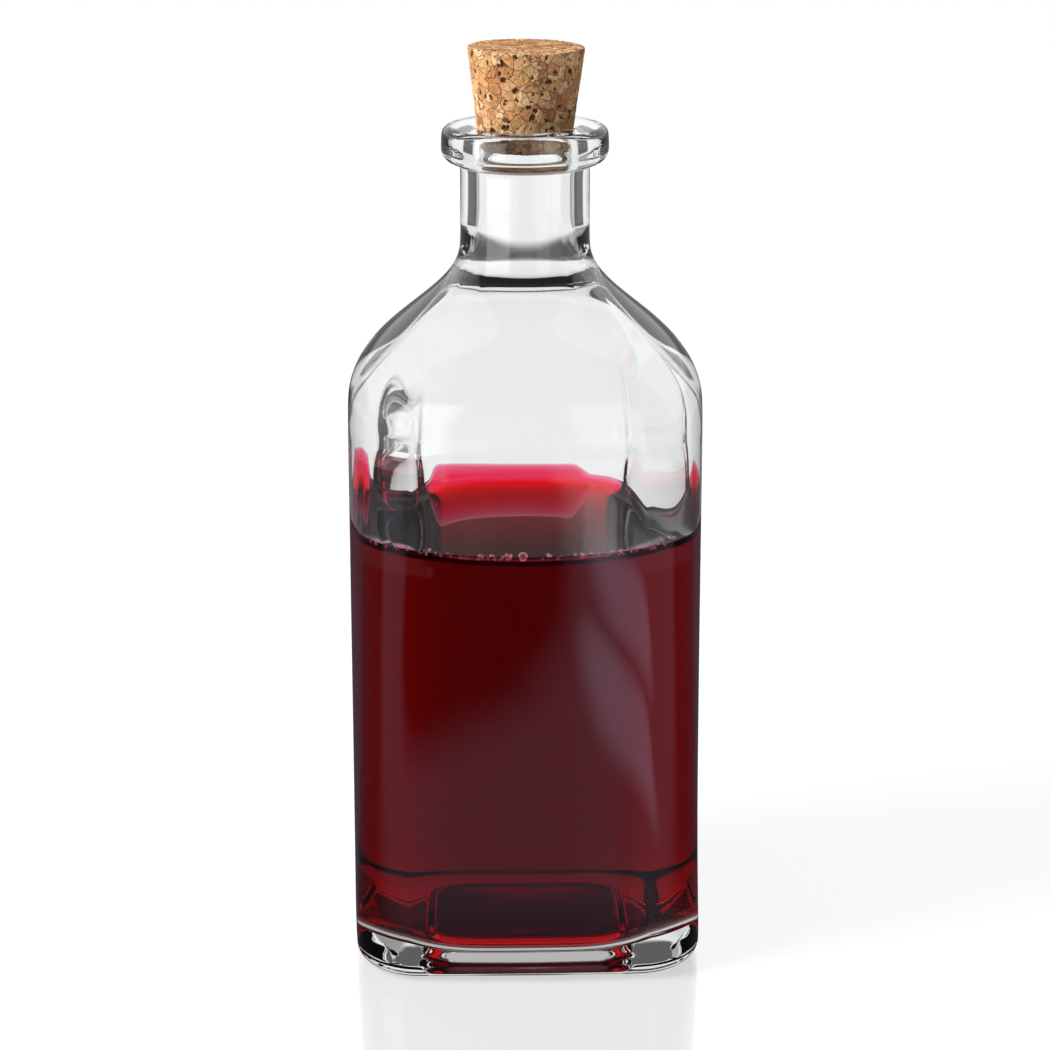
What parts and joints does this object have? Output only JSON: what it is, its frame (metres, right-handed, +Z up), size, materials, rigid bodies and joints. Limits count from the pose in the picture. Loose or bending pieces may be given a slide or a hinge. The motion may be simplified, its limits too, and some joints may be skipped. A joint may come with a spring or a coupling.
{
  "type": "glass bottle with cork",
  "caption": "Clear square glass bottle with rounded shoulders, a round neck with a ring lip and a tapered cork, part filled with a dark red drink.",
  "frame": {"origin": "middle of the base, on the plane that the bottle stands on", "axes": "+Z up along the neck's axis, one flat side of the body faces -Y and its neighbour faces +X"},
  "size_m": [0.075, 0.075, 0.1913],
  "materials": {
    "clear_glass": "clear, smooth, thick in the corners and the base",
    "red_drink": "deep red, see-through where it is thin",
    "cork": "pressed cork granules, matt, with dark pits"
  },
  "bodies": {
    "root": {"bottle": "clear_glass", "drink": "red_drink", "cork": "cork"}
  },
  "joints": []
}
